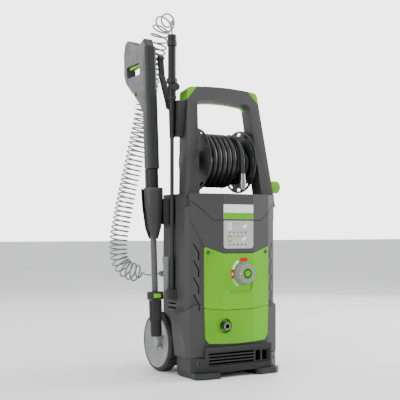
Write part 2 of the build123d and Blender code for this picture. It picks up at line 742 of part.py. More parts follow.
with BuildPart() as crank_arm:
    with BuildSketch(Plane.YZ.offset(CRANK_X - 5)):
        with BuildLine():
            Line((REEL_Y - 15, REEL_Z), (REEL_Y - 11, REEL_Z - CRANK_REACH))
            JernArc(start=(REEL_Y - 11, REEL_Z - CRANK_REACH), tangent=(0, -1), radius=11, arc_size=180)
            Line((REEL_Y + 11, REEL_Z - CRANK_REACH), (REEL_Y + 15, REEL_Z))
            JernArc(start=(REEL_Y + 15, REEL_Z), tangent=(0, 1), radius=15, arc_size=180)
        make_face()
    extrude(amount=10)
    # fixed pin that the knob turns on
    add(cylinder_x(5, CRANK_X, CRANK_X + 62, REEL_Y, REEL_Z - CRANK_REACH))
    add(cylinder_x(SHAFT_R, -FAR, CRANK_X + 8, REEL_Y, REEL_Z), mode=Mode.SUBTRACT)
crank_arm.part.label = "crank_arm"
export_step(crank_arm.part, "parts/crank_arm.step")

with BuildPart() as crank_knob:
    knob_z = REEL_Z - CRANK_REACH
    add(cylinder_x(14, CRANK_X + 8, CRANK_X + 20, REEL_Y, knob_z))
    add(cylinder_x(KNOB_R, CRANK_X + 18, CRANK_X + 68, REEL_Y, knob_z))
    chamfer(crank_knob.edges().filter_by(GeomType.CIRCLE).group_by(Axis.X)[-1], 4)
    add(cylinder_x(5 + RUNNING, 0, CRANK_X + 62.5, REEL_Y, knob_z), mode=Mode.SUBTRACT)
crank_knob.part.label = "crank_knob"
export_step(crank_knob.part, "parts/crank_knob.step")

# ================================================================ holster, gun and lance
HOLSTER_TOP = 556.0
HOLSTER_END = 406.0
HOLSTER_STAGES = [
    (14, HOLSTER_END, 438, 24),
    (24, 438, 500, 31),
    (31, 500, HOLSTER_TOP, 33),
]

with BuildPart() as holster_cup:
    for foot_r, low, high, top_r in HOLSTER_STAGES:
        add(lance_stage(foot_r, low, high, top_r))
    add(lance_stage(LANCE_R + 1.5, HOLSTER_END - 1, 441), mode=Mode.SUBTRACT)
    add(lance_stage(LANCE_R + 1.5, 440, 500, 27.5), mode=Mode.SUBTRACT)
    add(lance_stage(27.5, 500, HOLSTER_TOP + 1, 29.5), mode=Mode.SUBTRACT)
    # side slot that the bare lance tube enters through
    with BuildSketch(LANCE.offset(HOLSTER_END - 1)):
        with Locations((-30, 0)):
            Rectangle(60, 2 * LANCE_R + 3)
    extrude(amount=FAR, mode=Mode.SUBTRACT)
holster_cup.part.label = "holster_cup"
export_step(holster_cup.part, "parts/holster_cup.step")

with BuildPart() as holster_bracket:
    with BuildSketch(Plane.XY.offset(448)):
        Polygon((-CASING_HALF, -43), (-CASING_HALF, 26), (-186, 10), (-186, -38), align=None)
    extrude(amount=76)
    for foot_r, low, high, top_r in HOLSTER_STAGES:
        add(lance_stage(foot_r, low, high, top_r), mode=Mode.SUBTRACT)
holster_bracket.part.label = "holster_bracket"
export_step(holster_bracket.part, "parts/holster_bracket.step")

GUN_HALF = 15.0           # half thickness of the grip
GUN_PROFILE = [
    (-14, 614), (-14, 985), (-4, 1010), (14, 1003), (30, 998), (112, 1030), (128, 1024),
    (140, 992), (142, 925), (130, 896), (78, 850), (40, 815), (19, 785), (19, 614),
]
GUARD_OPENING = [(30, 906), (116, 911), (120, 947), (30, 942)]
TRIGGER_POCKET = [(28, 940), (118, 944), (118, 972), (28, 972)]
TRIGGER_PIVOT = (110, 962)
LOCK_AT = (64, 852)


def gun_block(thickness, inset=0.0):
    """The gun's side profile with its guard opening, from the middle plane to one side."""
    with BuildPart() as block:
        with BuildSketch(GUN_SIDE) as profile:
            Polygon(*GUN_PROFILE, align=None)
            fillet(profile.vertices(), 7)
            if inset:
                offset(amount=-inset, kind=Kind.INTERSECTION)
        extrude(amount=thickness)
        with BuildSketch(GUN_SIDE) as opening:
            Polygon(*GUARD_OPENING, align=None)
            fillet(opening.vertices(), 6)
            if inset:
                offset(amount=inset, kind=Kind.INTERSECTION)
        extrude(amount=thickness, mode=Mode.SUBTRACT)
    return block.part


for side_name, side in (("left", -1), ("right", 1)):
    with BuildPart() as gun_shell:
        add(gun_block(side * GUN_HALF))
        chamfer(gun_shell.faces().sort_by(Axis.X)[0 if side < 0 else -1].outer_wire().edges(), 3)
        add(gun_block(side * (GUN_HALF - WALL), WALL), mode=Mode.SUBTRACT)
        add(lance_stage(LANCE_R, 600, 640), mode=Mode.SUBTRACT)
        with BuildSketch(GUN_SIDE):
            Polygon(*TRIGGER_POCKET, align=None)
        extrude(amount=side * 8.5, mode=Mode.SUBTRACT)
        # hole for the cross-bolt lock
        with BuildSketch(GUN_SIDE):
            with Locations(LOCK_AT):
                Circle(5.1)
        extrude(amount=side * FAR, mode=Mode.SUBTRACT)
        # half of the trigger's pin, moulded on
        with BuildSketch(GUN_SIDE):
            with Locations(TRIGGER_PIVOT):
                Circle(3)
        extrude(amount=side * (GUN_HALF - 1))
    gun_shell.part.label = f"gun_shell_{side_name}"
    export_step(gun_shell.part, f"parts/gun_shell_{side_name}.step")

with BuildPart() as gun_front_cover:
    # dark cover that wraps the front of the barrel
    with BuildSketch(LANCE.offset(614)):
        with Locations((0, -8)):
            RectangleRounded(37, 34, 12)
    extrude(amount=366)
    with BuildSketch(GUN_SIDE):
        Polygon((-30, 600), (30, 600), (30, 614), (2, 640), (2, 930), (-16, 990), (-30, 990), align=None)
    extrude(amount=FAR, both=True, mode=Mode.INTERSECT)
    for side in (-1, 1):
        add(gun_block(side * (GUN_HALF + 0.3)), mode=Mode.SUBTRACT)
    add(lance_stage(LANCE_R, 600, 640), mode=Mode.SUBTRACT)
gun_front_cover.part.label = "gun_front_cover"
export_step(gun_front_cover.part, "parts/gun_front_cover.step")

with BuildPart() as gun_valve:
    # brass valve body inside the barrel, down to the lance's bayonet
    add(lance_stage(10, 640, 900))
    with BuildSketch(GUN_SIDE):
        with Locations((10, 880)):
            Rectangle(16, 40)
    extrude(amount=8, both=True)
    add(lance_stage(4, 600, 860), mode=Mode.SUBTRACT)
gun_valve.part.label = "gun_valve"
export_step(gun_valve.part, "parts/gun_valve.step")

with BuildPart() as trigger:
    with BuildSketch(GUN_SIDE) as trigger_outline:
        Polygon((34, 938), (112, 936), (116, 950), (116, 968), (104, 968), (34, 952), align=None)
        fillet(trigger_outline.vertices(), 3)
    extrude(amount=7.5, both=True)
    with BuildSketch(GUN_SIDE):
        with Locations(TRIGGER_PIVOT):
            Circle(3 + RUNNING)
    extrude(amount=20, both=True, mode=Mode.SUBTRACT)
trigger.part.label = "trigger"
export_step(trigger.part, "parts/trigger.step")

with BuildPart() as trigger_lock:
    # cross-bolt: pushed through the gun to lock the trigger
    with BuildSketch(GUN_SIDE):
        with Locations(LOCK_AT):
            Circle(5.05)
    extrude(amount=GUN_HALF + 4, both=True)
trigger_lock.part.label = "trigger_lock"
export_step(trigger_lock.part, "parts/trigger_lock.step")

with BuildPart() as lance_collar:
    add(lance_stage(20, 556, 613))
    add(lance_stage(12, 452, 500, 24))
    add(lance_stage(24, 499.9, 556.5, 26))
    add(lance_stage(10.2, 400, 620), mode=Mode.SUBTRACT)
lance_collar.part.label = "lance_collar"
export_step(lance_collar.part, "parts/lance_collar.step")

with BuildPart() as lance_tube:
    add(lance_stage(LANCE_R, 236, 639))
    add(lance_stage(5, 230, 640), mode=Mode.SUBTRACT)
lance_tube.part.label = "lance_tube"
export_step(lance_tube.part, "parts/lance_tube.step")

BUTTON_ANGLE = -99        # the release button faces the front, turned a little outwards
BUTTON_WIDTH = 22.0
BUTTON_R = 25.2           # its face follows the collar, a little proud of it
with BuildPart() as nozzle_collar:
    add(lance_stage(24, 226, 250))
    chamfer(nozzle_collar.edges().filter_by(GeomType.CIRCLE), 2.5)
    add(lance_stage(LANCE_R, 235.9, 260), mode=Mode.SUBTRACT)
    add(lance_stage(8, 220, 240), mode=Mode.SUBTRACT)
    # pocket for the release button
    with BuildSketch(LANCE.offset(231.5)):
        with PolarLocations(22, 1, start_angle=BUTTON_ANGLE):
            Rectangle(14, BUTTON_WIDTH + 1)
    extrude(amount=13, mode=Mode.SUBTRACT)
nozzle_collar.part.label = "nozzle_collar"
export_step(nozzle_collar.part, "parts/nozzle_collar.step")

with BuildPart() as nozzle_button:
    with BuildSketch(LANCE.offset(232)):
        with PolarLocations(22.5, 1, start_angle=BUTTON_ANGLE):
            Rectangle(9, BUTTON_WIDTH)
    extrude(amount=12)
    add(lance_stage(BUTTON_R, 231, 245), mode=Mode.INTERSECT)
nozzle_button.part.label = "nozzle_button"
export_step(nozzle_button.part, "parts/nozzle_button.step")

with BuildPart() as nozzle_body:
    add(lance_stage(7.6, 196, 234))
    add(lance_stage(19, 164, 225))
    add(lance_stage(16.5, 128, 164))
    add(lance_stage(15.5, 118, 128, 16.5))
    # grip flutes and the spray bore
    with BuildSketch(LANCE.offset(160)):
        with PolarLocations(20, 14):
            Circle(2.2)
    extrude(amount=60, mode=Mode.SUBTRACT)
    add(lance_stage(6, 110, 180), mode=Mode.SUBTRACT)
nozzle_body.part.label = "nozzle_body"
export_step(nozzle_body.part, "parts/nozzle_body.step")

# ================================================================ detergent wand on the left post
WAND_END = 256.0
with BuildPart() as wand_tube:
    add(upright_stage(WAND_X, WAND_Y, 6, WAND_END, 714))
    add(upright_stage(WAND_X, WAND_Y, 3, 250, 700), mode=Mode.SUBTRACT)
wand_tube.part.label = "wand_tube"
export_step(wand_tube.part, "parts/wand_tube.step")

with BuildPart() as wand_body:
    add(upright_stage(WAND_X, WAND_Y, 7.5, 704, 822, 11))
    add(upright_stage(WAND_X, WAND_Y, 13, 818, 828))
    add(upright_stage(WAND_X, WAND_Y, 12, 828, 976))
    add(upright_stage(WAND_X, WAND_Y, 16, 866, 880))
    add(upright_stage(WAND_X, WAND_Y, 15, 976, 990))
    add(upright_stage(WAND_X, WAND_Y, 13.5, 990, 1009))
    # lug that the lever hinges on
    with BuildSketch(Plane.YZ.offset(WAND_X - 4)):
        Polygon((WAND_Y, 786), (WAND_Y + 20, 790), (WAND_Y + 24, 800), (WAND_Y + 20, 810), (WAND_Y, 816),
                align=None)
    extrude(amount=8)
    # boss of the flow knob
    with BuildSketch(Plane.XZ.offset(-WAND_Y)):
        with Locations((WAND_X, 852)):
            Circle(8)
    extrude(amount=16)
    add(upright_stage(WAND_X, WAND_Y, 6, 700, 714), mode=Mode.SUBTRACT)
    add(upright_stage(WAND_X, WAND_Y, 3, 700, 1010), mode=Mode.SUBTRACT)
    add(cylinder_x(3, -FAR, FAR, WAND_Y + 17, 800), mode=Mode.SUBTRACT)
wand_body.part.label = "wand_body"
export_step(wand_body.part, "parts/wand_body.step")

LEVER_TOP_Y = 22.0
LEVER_TOP_Z = 952.0
with BuildPart() as wand_lever:
    with BuildSketch(Plane.YZ.offset(WAND_X - 8)):
        Polygon((WAND_Y + 12, 792), (WAND_Y + 22, 792), (WAND_Y + 30, 812), (LEVER_TOP_Y - 2, 900),
                (LEVER_TOP_Y + 6, LEVER_TOP_Z), (LEVER_TOP_Y - 6, LEVER_TOP_Z), (LEVER_TOP_Y - 14, 900),
                (WAND_Y + 19, 820), align=None)
        with Locations((LEVER_TOP_Y, LEVER_TOP_Z)):
            Circle(9)
    extrude(amount=16)
    # the lug passes between the lever's two cheeks
    with BuildSketch(Plane.YZ.offset(WAND_X - 4.3)):
        with Locations((WAND_Y + 10, 798)):
            Rectangle(40, 44)
    extrude(amount=8.6, mode=Mode.SUBTRACT)
    add(cylinder_x(3 - RUNNING, WAND_X - 8, WAND_X + 8, WAND_Y + 17, 800))
wand_lever.part.label = "wand_lever"
export_step(wand_lever.part, "parts/wand_lever.step")

with BuildPart() as wand_knob:
    with BuildSketch(Plane.XZ.offset(-WAND_Y + 16.3)):
        with Locations((WAND_X, 852)):
            Circle(11.5)
            with PolarLocations(12.3, 12):
                Circle(1.4, mode=Mode.SUBTRACT)
    extrude(amount=12)
wand_knob.part.label = "wand_knob"
export_step(wand_knob.part, "parts/wand_knob.step")

with BuildPart() as wand_clips:
    # upper clip on the handle's left post, lower foot on the casing's side
    with BuildSketch(Plane.XY.offset(708)):
        Polygon((-125, -76), (-125, -46), (-158, -42), (-158, -76), align=None)
    extrude(amount=106)
    add(upright_stage(WAND_X, WAND_Y, 12, 820, 830), mode=Mode.SUBTRACT)
    add(upright_stage(WAND_X, WAND_Y, 7.5, 704, 822, 11), mode=Mode.SUBTRACT)
    add(handle_outline.part, mode=Mode.SUBTRACT)
    with BuildSketch(Plane.XY.offset(226)):
        Polygon((-CASING_HALF, -66), (-CASING_HALF, -40), (-176, -42), (-176, -62), align=None)
    with BuildSketch(Plane.XY.offset(WAND_END)):
        Polygon((-CASING_HALF, -66), (-CASING_HALF, -40), (-178, -42), (-178, -62), align=None)
    loft()
wand_clips.part.label = "wand_clips"
export_step(wand_clips.part, "parts/wand_clips.step")

CUP_X = -171.0
CUP_Y = -30.0
with BuildPart() as detergent_cup:
    add(upright_stage(CUP_X, CUP_Y, 9, 252, 334, 11))
    add(upright_stage(CUP_X, CUP_Y, 12.5, 334, 352))
    # wall pad and rearward hose barb with two ribs
    with BuildSketch(Plane.XY.offset(286)):
        with Locations((-162, CUP_Y)):
            Rectangle(12, 12)
    extrude(amount=40)
    with BuildSketch(Plane.XZ.offset(-CUP_Y)):
        with Locations((CUP_X, 300)):
            Circle(5.5)
    extrude(amount=-46)
    for rib_y in (-8, 2):
        with BuildSketch(Plane.XZ.offset(-rib_y)):
            with Locations((CUP_X, 300)):
                Circle(9)
        extrude(amount=-5)
detergent_cup.part.label = "detergent_cup"
export_step(detergent_cup.part, "parts/detergent_cup.step")

# ================================================================ motor and pump
MOTOR_Y = -14.0
with BuildPart() as motor_housing:
    add(upright_stage(0, MOTOR_Y, 62, 214, 396))
    add(upright_stage(0, MOTOR_Y, 58, 220, 390), mode=Mode.SUBTRACT)
    # windings inside the can
    add(upright_stage(0, MOTOR_Y, 58.5, 240, 350))
    add(upright_stage(0, MOTOR_Y, 35.5, 239, 351), mode=Mode.SUBTRACT)
    add(upright_stage(0, MOTOR_Y, 9 + RUNNING, 200, 400), mode=Mode.SUBTRACT)
    with BuildSketch(Plane.XY.offset(380)):
        with Locations((0, MOTOR_Y)):
            with PolarLocations(38, 8):
                Circle(9)
    extrude(amount=20, mode=Mode.SUBTRACT)
motor_housing.part.label = "motor_housing"
export_step(motor_housing.part, "parts/motor_housing.step")

with BuildPart() as motor_rotor:
    # shaft, laminated core, commutator and the pump's swash plate below
    add(upright_stage(0, MOTOR_Y, 9, 186, 430))
    add(upright_stage(0, MOTOR_Y, 34, 250, 340))
    add(upright_stage(0, MOTOR_Y, 20, 346, 368))
    with BuildSketch(Plane(origin=(0, MOTOR_Y, 182), z_dir=(0, sin(radians(10)), cos(radians(10))))):
        Circle(34)
    extrude(amount=8, both=True)
motor_rotor.part.label = "motor_rotor"
export_step(motor_rotor.part, "parts/motor_rotor.step")

with BuildPart() as cooling_fan:
    add(upright_stage(0, MOTOR_Y, 56, 404, 407))
    add(upright_stage(0, MOTOR_Y, 16, 404, 428))
    with BuildSketch(Plane.XY.offset(406)):
        with Locations((0, MOTOR_Y)):
            with PolarLocations(35, 11):
                Rectangle(40, 3)
    extrude(amount=18)
    add(upright_stage(0, MOTOR_Y, 9, 400, 440), mode=Mode.SUBTRACT)
cooling_fan.part.label = "cooling_fan"
export_step(cooling_fan.part, "parts/cooling_fan.step")

with BuildPart() as pump_body:
    # cast case round the swash plate, with three cylinders below
    add(upright_stage(0, MOTOR_Y, 47, 118, 214))
    add(upright_stage(0, MOTOR_Y, 42, 160, 206), mode=Mode.SUBTRACT)
    add(upright_stage(0, MOTOR_Y, 9 + RUNNING, 200, 220), mode=Mode.SUBTRACT)
    with BuildSketch(Plane.XY.offset(126)):
        with Locations((0, MOTOR_Y)):
            with PolarLocations(24, 3):
                Circle(7 + RUNNING)
    extrude(amount=60, mode=Mode.SUBTRACT)
pump_body.part.label = "pump_body"
export_step(pump_body.part, "parts/pump_body.step")

with BuildPart() as pump_pistons:
    with BuildSketch(Plane.XY.offset(128)):
        with Locations((0, MOTOR_Y)):
            with PolarLocations(24, 3):
                Circle(7)
    extrude(amount=38)
pump_pistons.part.label = "pump_pistons"
export_step(pump_pistons.part, "parts/pump_pistons.step")

with BuildPart() as pump_head:
    with BuildSketch(Plane.XY.offset(88)):
        with Locations((0, MOTOR_Y)):
            RectangleRounded(90, 84, 10)
    extrude(amount=30)
pump_head.part.label = "pump_head"
export_step(pump_head.part, "parts/pump_head.step")

# ================================================================ pipe and curly hose


def route_radii(points):
    """The arc at each inner point: as large as its two runs allow."""
    radii = []
    for before, corner, after in zip(points, points[1:], points[2:]):
        first = Vector(corner) - Vector(before)
        second = Vector(after) - Vector(corner)
        half_turn = radians(first.get_angle(second)) / 2
        radii.append(0.45 * min(first.length, second.length) / tan(half_turn))
    return radii


def tube(points, diameter):
    """A round tube of straight runs joined by tangent arcs; prints its radii and its volume's ratio."""
    radii = route_radii(points)
    with BuildPart() as swept:
        with BuildLine() as path:
            FilletPolyline(*points, radius=radii)
        start = Vector(points[0])
        with BuildSketch(Plane(origin=start, z_dir=Vector(points[1]) - start)) as section:
            Circle(diameter / 2)
        sweep()
    length = path.wire().length
    ratio = swept.part.volume / (section.sketch.area * length)
    print("radii", [round(radius) for radius in radii], "length", round(length), "ratio", round(ratio, 3))
    return swept.part


PIPE_X = -26.0
PIPE_D = 11.0
with BuildPart() as pressure_pipe:
    add(tube([(PIPE_X, -56, 103), (PIPE_X, -88, 103), (OUTLET_X, -94, OUTLET_Z),
              (OUTLET_X, -117, OUTLET_Z)], PIPE_D))
pressure_pipe.part.label = "pressure_pipe"
export_step(pressure_pipe.part, "parts/pressure_pipe.step")

CURL_D = 60.0             # outer diameter of the curly hose's coil
CURLY_HOSE_D = 5.0
WAND_TOP = 1009.0
CURL_START = (-158, -24, 1056)
CURL_END = (-190, 108, 298)
CURL_ROUTE = [
    CURL_START, (-156, 14, 1064), (-154, 48, 1034), (-153, 70, 985), (-152, 106, 920), (-153, 147, 835),
    (-160, 162, 765), (-172, 173, 690), (-188, 176, 615), (-205, 180, 540), (-220, 177, 470),
    (-235, 174, 405), (-238, 168, 348), (-226, 152, 312), (-207, 130, 300), CURL_END,
]
with BuildPart() as curly_hose:
    add(tube(CURL_ROUTE, CURL_D))
curly_hose.part.label = "curly_hose"
export_step(curly_hose.part, "parts/curly_hose.step")

UPPER_LEAD = [(WAND_X, WAND_Y, WAND_TOP), (WAND_X, WAND_Y, 1028), (WAND_X, WAND_Y + 9, 1045), CURL_START]
with BuildPart() as curly_lead_upper:
    add(tube(UPPER_LEAD, CURLY_HOSE_D))
    add(curly_hose.part, mode=Mode.SUBTRACT)
curly_lead_upper.part.label = "curly_lead_upper"
export_step(curly_lead_upper.part, "parts/curly_lead_upper.step")

LOWER_LEAD = [
    (CUP_X, 16, 300), (CUP_X, 40, 299), (CUP_X - 3, 64, 293), (CUP_X - 10, 87, 293), CURL_END,
]
with BuildPart() as curly_lead_lower:
    add(tube(LOWER_LEAD, CURLY_HOSE_D))
    add(curly_hose.part, mode=Mode.SUBTRACT)
    add(detergent_cup.part, mode=Mode.SUBTRACT)
curly_lead_lower.part.label = "curly_lead_lower"
export_step(curly_lead_lower.part, "parts/curly_lead_lower.step")
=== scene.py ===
import json
from math import cos, pi, radians, sin

import bmesh
import bpy
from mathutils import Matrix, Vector


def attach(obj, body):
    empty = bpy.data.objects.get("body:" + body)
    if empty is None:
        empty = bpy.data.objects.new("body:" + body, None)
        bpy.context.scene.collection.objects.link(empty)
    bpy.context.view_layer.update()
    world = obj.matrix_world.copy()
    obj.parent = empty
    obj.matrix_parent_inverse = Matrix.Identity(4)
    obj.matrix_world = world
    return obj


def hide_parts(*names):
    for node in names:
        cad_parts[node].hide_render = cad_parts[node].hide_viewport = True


# The visual model of an upright pressure washer. Metres, +Z up, front faces -Y.

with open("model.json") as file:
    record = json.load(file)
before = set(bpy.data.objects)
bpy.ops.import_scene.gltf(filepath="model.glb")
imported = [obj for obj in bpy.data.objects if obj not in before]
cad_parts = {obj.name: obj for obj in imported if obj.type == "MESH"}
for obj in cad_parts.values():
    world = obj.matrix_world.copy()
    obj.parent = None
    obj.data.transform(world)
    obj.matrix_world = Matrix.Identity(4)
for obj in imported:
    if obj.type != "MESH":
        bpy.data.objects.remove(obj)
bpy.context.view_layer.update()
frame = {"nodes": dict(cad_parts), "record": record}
nodes = frame["nodes"]


# ---------------------------------------------------------------- camera and light
def look(obj, direction):
    """Turns an object so that its -Z axis points along a direction."""
    obj.rotation_mode = "QUATERNION"
    obj.rotation_quaternion = Vector(direction).to_track_quat("-Z", "Y")


CAMERA_AZIMUTH = radians(31.1)
CAMERA_DISTANCE = 2.55
CAMERA_HEIGHT = 0.4284

view_direction = Vector((sin(CAMERA_AZIMUTH), cos(CAMERA_AZIMUTH), 0))
camera_data = bpy.data.cameras.new("camera")
camera_data.lens = 73.53
camera_data.sensor_width = 36
camera_data.shift_x = -0.0265
camera_data.shift_y = 0.0775
camera = bpy.data.objects.new("camera", camera_data)
bpy.context.scene.collection.objects.link(camera)
camera.location = -view_direction * CAMERA_DISTANCE + Vector((0, 0, CAMERA_HEIGHT))
look(camera, view_direction)
bpy.context.scene.camera = camera


def area_light(name, place, target, size, power):
    """A soft square lamp aimed at a point."""
    data = bpy.data.lights.new(name, "AREA")
    data.shape = "SQUARE"
    data.size = size
    data.energy = power
    lamp = bpy.data.objects.new(name, data)
    bpy.context.scene.collection.objects.link(lamp)
    lamp.location = place
    look(lamp, Vector(target) - Vector(place))


MIDDLE = (0, 0, 0.5)
for lamp_name, lamp_place, lamp_size, lamp_power in (
    ("key", (2.9, -0.7, 1.4), 1.2, 120),
    ("fill", (-2.6, -1.0, 1.2), 1.0, 31),
    ("top", (0, -0.4, 3.0), 2.0, 30),
    ("rim", (-1.6, 2.0, 1.6), 1.2, 26),
    ("back_fill", (2.0, 2.0, 1.2), 1.6, 20),
):
    area_light(lamp_name, lamp_place, MIDDLE, lamp_size, lamp_power)

world = bpy.data.worlds.new("studio")
world.use_nodes = True
world.node_tree.nodes["Background"].inputs["Color"].default_value = (0.95, 0.96, 0.97, 1)
world.node_tree.nodes["Background"].inputs["Strength"].default_value = 1.15
backdrop = world.node_tree.nodes.new("ShaderNodeBackground")
backdrop.inputs["Strength"].default_value = 5.0
seen_directly = world.node_tree.nodes.new("ShaderNodeLightPath")
backdrop_mix = world.node_tree.nodes.new("ShaderNodeMixShader")
world_links = world.node_tree.links
world_links.new(seen_directly.outputs["Is Camera Ray"], backdrop_mix.inputs[0])
world_links.new(world.node_tree.nodes["Background"].outputs[0], backdrop_mix.inputs[1])
world_links.new(backdrop.outputs[0], backdrop_mix.inputs[2])
world_links.new(backdrop_mix.outputs[0], world.node_tree.nodes["World Output"].inputs["Surface"])
bpy.context.scene.world = world


# ---------------------------------------------------------------- materials
def new_material(name, color, roughness, metallic=0.0):
    """A Principled material with its plain numbers set on the shader's own sockets."""
    material = bpy.data.materials.new(name)
    material.use_nodes = True
    shader = material.node_tree.nodes["Principled BSDF"]
    shader.inputs["Base Color"].default_value = (*color, 1)
    shader.inputs["Roughness"].default_value = roughness
    shader.inputs["Metallic"].default_value = metallic
    return material, material.node_tree, shader


def noise(tree, scale, detail=4.0, stretch=(1, 1, 1)):
    """A noise texture in object space, optionally stretched."""
    coordinates = tree.nodes.new("ShaderNodeTexCoord")
    mapping = tree.nodes.new("ShaderNodeMapping")
    mapping.inputs["Scale"].default_value = stretch
    texture = tree.nodes.new("ShaderNodeTexNoise")
    texture.inputs["Scale"].default_value = scale
    texture.inputs["Detail"].default_value = detail
    tree.links.new(coordinates.outputs["Object"], mapping.inputs["Vector"])
    tree.links.new(mapping.outputs["Vector"], texture.inputs["Vector"])
    return texture.outputs["Fac"]


def ramp(tree, factor, low, high, start=0.35, end=0.65):
    """Maps a factor onto a run between two colours."""
    node = tree.nodes.new("ShaderNodeValToRGB")
    node.color_ramp.elements[0].position = start
    node.color_ramp.elements[0].color = (*low, 1)
    node.color_ramp.elements[1].position = end
    node.color_ramp.elements[1].color = (*high, 1)
    tree.links.new(factor, node.inputs["Fac"])
    return node.outputs["Color"]


def spread(tree, factor, low, high):
    """Maps a factor onto a run of numbers."""
    node = tree.nodes.new("ShaderNodeMapRange")
    node.inputs["From Min"].default_value = 0.3
    node.inputs["From Max"].default_value = 0.7
    node.inputs["To Min"].default_value = low
    node.inputs["To Max"].default_value = high
    tree.links.new(factor, node.inputs["Value"])
    return node.outputs["Result"]


def bump(tree, shader, height, strength, distance):
    """Feeds a height into the shader's normal."""
    node = tree.nodes.new("ShaderNodeBump")
    node.inputs["Strength"].default_value = strength
    node.inputs["Distance"].default_value = distance
    tree.links.new(height, node.inputs["Height"])
    tree.links.new(node.outputs["Normal"], shader.inputs["Normal"])


def shade(color, factor):
    return tuple(min(1.0, channel * factor) for channel in color)


def worn_edges(tree, color, edge_color, low=0.52, high=0.60):
    """Lightens convex edges, where handling rubs the surface."""
    geometry = tree.nodes.new("ShaderNodeNewGeometry")
    mask = tree.nodes.new("ShaderNodeMapRange")
    mask.inputs["From Min"].default_value = low
    mask.inputs["From Max"].default_value = high
    tree.links.new(geometry.outputs["Pointiness"], mask.inputs["Value"])
    mix = tree.nodes.new("ShaderNodeMix")
    mix.data_type = "RGBA"
    mix.inputs["B"].default_value = (*edge_color, 1)
    tree.links.new(mask.outputs["Result"], mix.inputs["Factor"])
    tree.links.new(color, mix.inputs["A"])
    return mix.outputs["Result"]


def painted_gap_shade(tree, color, reach=0.008, floor=0.06):
    """Painted shade: darkens narrow gaps and inside corners, where shade gathers."""
    occlusion = tree.nodes.new("ShaderNodeAmbientOcclusion")
    occlusion.samples = 8
    occlusion.inputs["Distance"].default_value = reach
    depth = tree.nodes.new("ShaderNodeMapRange")
    depth.inputs["From Min"].default_value = 0.3
    depth.inputs["From Max"].default_value = 0.8
    depth.inputs["To Min"].default_value = floor
    tree.links.new(occlusion.outputs["AO"], depth.inputs["Value"])
    mix = tree.nodes.new("ShaderNodeMix")
    mix.data_type = "RGBA"
    mix.blend_type = "MULTIPLY"
    mix.inputs["Factor"].default_value = 1.0
    tree.links.new(color, mix.inputs["A"])
    tree.links.new(depth.outputs["Result"], mix.inputs["B"])
    return mix.outputs["Result"]


def moulded_plastic(name, color, roughness, grain=1500.0, grain_height=0.00012, wear=1.6, shade_gaps=True):
    """Moulded plastic: fine spark-eroded grain, slight mottling, lighter edges, and painted shade in its gaps.
    """
    material, tree, shader = new_material(name, color, roughness)
    shader.inputs["Specular IOR Level"].default_value = 0.22
    mottle = noise(tree, 9.0)
    base = ramp(tree, mottle, shade(color, 0.9), shade(color, 1.1))
    edged = worn_edges(tree, base, shade(color, wear))
    # painted shade: the colour darkens in gaps and inside corners
    tree.links.new(painted_gap_shade(tree, edged) if shade_gaps else edged, shader.inputs["Base Color"])
    fine = noise(tree, grain, 2.0)
    tree.links.new(spread(tree, noise(tree, 26.0), roughness - 0.06, roughness + 0.08),
                   shader.inputs["Roughness"])
    bump(tree, shader, fine, 0.35, grain_height)
    return material


def turned_metal(name, color, roughness, stretch=(1, 1, 1), brushed=700.0):
    """Machined metal: fine tool marks and patchy sheen."""
    material, tree, shader = new_material(name, color, roughness, 1.0)
    tree.links.new(ramp(tree, noise(tree, 30.0), shade(color, 0.88), shade(color, 1.06)),
                   shader.inputs["Base Color"])
    marks = noise(tree, brushed, 2.0, stretch)
    tree.links.new(spread(tree, marks, roughness - 0.05, roughness + 0.12),
                   shader.inputs["Roughness"])
    bump(tree, shader, marks, 0.15, 0.00005)
    return material


def rubber(name, color, roughness, grain=900.0):
    """Rubber: dull, with a dusty variation."""
    material, tree, shader = new_material(name, color, roughness)
    shader.inputs["Specular IOR Level"].default_value = 0.35
    tree.links.new(ramp(tree, noise(tree, 34.0), shade(color, 0.75), shade(color, 1.5)),
                   shader.inputs["Base Color"])
    tree.links.new(spread(tree, noise(tree, 60.0), roughness - 0.08, roughness + 0.08),
                   shader.inputs["Roughness"])
    bump(tree, shader, noise(tree, grain, 2.0), 0.4, 0.00015)
    return material


def clear_plastic(name, color, roughness, transmission, streak=120.0):
    """Translucent plastic with flow streaks."""
    material, tree, shader = new_material(name, color, roughness)
    shader.inputs["Transmission Weight"].default_value = transmission
    shader.inputs["IOR"].default_value = 1.5
    tree.links.new(ramp(tree, noise(tree, streak), shade(color, 0.92), shade(color, 1.06)),
                   shader.inputs["Base Color"])
    tree.links.new(spread(tree, noise(tree, 70.0), roughness, roughness + 0.12),
                   shader.inputs["Roughness"])
    bump(tree, shader, noise(tree, 400.0, 2.0), 0.12, 0.0001)
    return material


